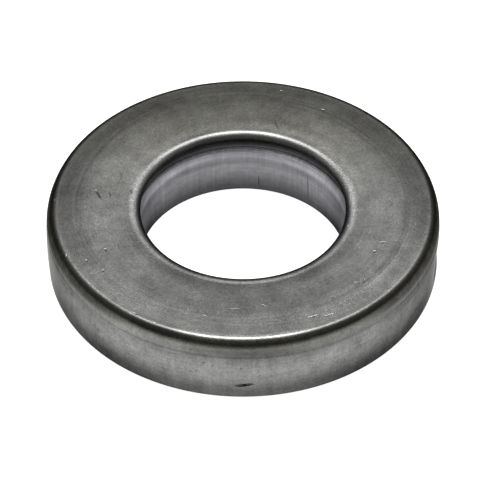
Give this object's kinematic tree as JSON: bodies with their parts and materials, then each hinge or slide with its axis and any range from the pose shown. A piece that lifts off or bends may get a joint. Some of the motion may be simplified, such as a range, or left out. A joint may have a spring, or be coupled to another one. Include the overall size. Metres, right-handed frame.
{
  "type": "thrust ball bearing",
  "caption": "Single-direction thrust ball bearing: a pressed-steel cover with a lipped bore, crimped round a collared lower race, with caged balls inside.",
  "frame": {"origin": "on the bearing's axis, at the lower race's seating face", "axes": "+Z along the bearing's axis, from the lower race up to the cover's flat top"},
  "size_m": [0.0618, 0.0618, 0.0119],
  "materials": {
    "cover_steel": "satin pressed steel, oiled, with turning lines, fine scratches and dark marks",
    "race_steel": "ground and hardened steel, with fine lines along the bore",
    "cage_steel": "pressed mild steel, satin",
    "ball_steel": "polished hardened steel"
  },
  "bodies": {
    "lower_race": {"lower_race": "race_steel"},
    "cover": {"shell": "cover_steel", "upper_race": "race_steel"},
    "cage": {"cage": "cage_steel"},
    "ball_01": {"ball_01": "ball_steel"},
    "ball_02": {"ball_02": "ball_steel"},
    "ball_03": {"ball_03": "ball_steel"},
    "ball_04": {"ball_04": "ball_steel"},
    "ball_05": {"ball_05": "ball_steel"},
    "ball_06": {"ball_06": "ball_steel"},
    "ball_07": {"ball_07": "ball_steel"},
    "ball_08": {"ball_08": "ball_steel"},
    "ball_09": {"ball_09": "ball_steel"},
    "ball_10": {"ball_10": "ball_steel"},
    "ball_11": {"ball_11": "ball_steel"},
    "ball_12": {"ball_12": "ball_steel"},
    "ball_13": {"ball_13": "ball_steel"},
    "ball_14": {"ball_14": "ball_steel"},
    "ball_15": {"ball_15": "ball_steel"},
    "ball_16": {"ball_16": "ball_steel"},
    "ball_17": {"ball_17": "ball_steel"},
    "ball_18": {"ball_18": "ball_steel"}
  },
  "joints": [
    {"name": "cover_spin", "type": "hinge", "parent": "lower_race", "child": "cover", "pos_m": [0, 0, 0.00532], "axis": [0, 0, 1], "continuous": true},
    {"name": "cage_spin", "type": "hinge", "parent": "lower_race", "child": "cage", "pos_m": [0, 0, 0.00532], "axis": [0, 0, 1], "continuous": true},
    {"name": "ball_01_roll", "type": "hinge", "parent": "cage", "child": "ball_01", "pos_m": [0.02276, 0.00829, 0.00532], "axis": [0.9397, 0.342, 0], "continuous": true},
    {"name": "ball_02_roll", "type": "hinge", "parent": "cage", "child": "ball_02", "pos_m": [0.01856, 0.01557, 0.00532], "axis": [0.766, 0.6428, 0], "continuous": true},
    {"name": "ball_03_roll", "type": "hinge", "parent": "cage", "child": "ball_03", "pos_m": [0.01211, 0.02098, 0.00532], "axis": [0.5, 0.866, 0], "continuous": true},
    {"name": "ball_04_roll", "type": "hinge", "parent": "cage", "child": "ball_04", "pos_m": [0.00421, 0.02386, 0.00532], "axis": [0.1736, 0.9848, 0], "continuous": true},
    {"name": "ball_05_roll", "type": "hinge", "parent": "cage", "child": "ball_05", "pos_m": [-0.00421, 0.02386, 0.00532], "axis": [-0.1736, 0.9848, 0], "continuous": true},
    {"name": "ball_06_roll", "type": "hinge", "parent": "cage", "child": "ball_06", "pos_m": [-0.01211, 0.02098, 0.00532], "axis": [-0.5, 0.866, 0], "continuous": true},
    {"name": "ball_07_roll", "type": "hinge", "parent": "cage", "child": "ball_07", "pos_m": [-0.01856, 0.01557, 0.00532], "axis": [-0.766, 0.6428, 0], "continuous": true},
    {"name": "ball_08_roll", "type": "hinge", "parent": "cage", "child": "ball_08", "pos_m": [-0.02276, 0.00829, 0.00532], "axis": [-0.9397, 0.342, 0], "continuous": true},
    {"name": "ball_09_roll", "type": "hinge", "parent": "cage", "child": "ball_09", "pos_m": [-0.02423, 0, 0.00532], "axis": [-1, 0, 0], "continuous": true},
    {"name": "ball_10_roll", "type": "hinge", "parent": "cage", "child": "ball_10", "pos_m": [-0.02276, -0.00829, 0.00532], "axis": [-0.9397, -0.342, 0], "continuous": true},
    {"name": "ball_11_roll", "type": "hinge", "parent": "cage", "child": "ball_11", "pos_m": [-0.01856, -0.01557, 0.00532], "axis": [-0.766, -0.6428, 0], "continuous": true},
    {"name": "ball_12_roll", "type": "hinge", "parent": "cage", "child": "ball_12", "pos_m": [-0.01211, -0.02098, 0.00532], "axis": [-0.5, -0.866, 0], "continuous": true},
    {"name": "ball_13_roll", "type": "hinge", "parent": "cage", "child": "ball_13", "pos_m": [-0.00421, -0.02386, 0.00532], "axis": [-0.1736, -0.9848, 0], "continuous": true},
    {"name": "ball_14_roll", "type": "hinge", "parent": "cage", "child": "ball_14", "pos_m": [0.00421, -0.02386, 0.00532], "axis": [0.1736, -0.9848, 0], "continuous": true},
    {"name": "ball_15_roll", "type": "hinge", "parent": "cage", "child": "ball_15", "pos_m": [0.01211, -0.02098, 0.00532], "axis": [0.5, -0.866, 0], "continuous": true},
    {"name": "ball_16_roll", "type": "hinge", "parent": "cage", "child": "ball_16", "pos_m": [0.01856, -0.01557, 0.00532], "axis": [0.766, -0.6428, 0], "continuous": true},
    {"name": "ball_17_roll", "type": "hinge", "parent": "cage", "child": "ball_17", "pos_m": [0.02276, -0.00829, 0.00532], "axis": [0.9397, -0.342, 0], "continuous": true},
    {"name": "ball_18_roll", "type": "hinge", "parent": "cage", "child": "ball_18", "pos_m": [0.02423, 0, 0.00532], "axis": [1, 0, 0], "continuous": true}
  ],
  "couplings": [
    {"joint": "cage_spin", "follows": "cover_spin", "ratio": 0.5},
    {"joint": "ball_01_roll", "follows": "cover_spin", "ratio": -3.815},
    {"joint": "ball_02_roll", "follows": "cover_spin", "ratio": -3.815},
    {"joint": "ball_03_roll", "follows": "cover_spin", "ratio": -3.815},
    {"joint": "ball_04_roll", "follows": "cover_spin", "ratio": -3.815},
    {"joint": "ball_05_roll", "follows": "cover_spin", "ratio": -3.815},
    {"joint": "ball_06_roll", "follows": "cover_spin", "ratio": -3.815},
    {"joint": "ball_07_roll", "follows": "cover_spin", "ratio": -3.815},
    {"joint": "ball_08_roll", "follows": "cover_spin", "ratio": -3.815},
    {"joint": "ball_09_roll", "follows": "cover_spin", "ratio": -3.815},
    {"joint": "ball_10_roll", "follows": "cover_spin", "ratio": -3.815},
    {"joint": "ball_11_roll", "follows": "cover_spin", "ratio": -3.815},
    {"joint": "ball_12_roll", "follows": "cover_spin", "ratio": -3.815},
    {"joint": "ball_13_roll", "follows": "cover_spin", "ratio": -3.815},
    {"joint": "ball_14_roll", "follows": "cover_spin", "ratio": -3.815},
    {"joint": "ball_15_roll", "follows": "cover_spin", "ratio": -3.815},
    {"joint": "ball_16_roll", "follows": "cover_spin", "ratio": -3.815},
    {"joint": "ball_17_roll", "follows": "cover_spin", "ratio": -3.815},
    {"joint": "ball_18_roll", "follows": "cover_spin", "ratio": -3.815}
  ]
}
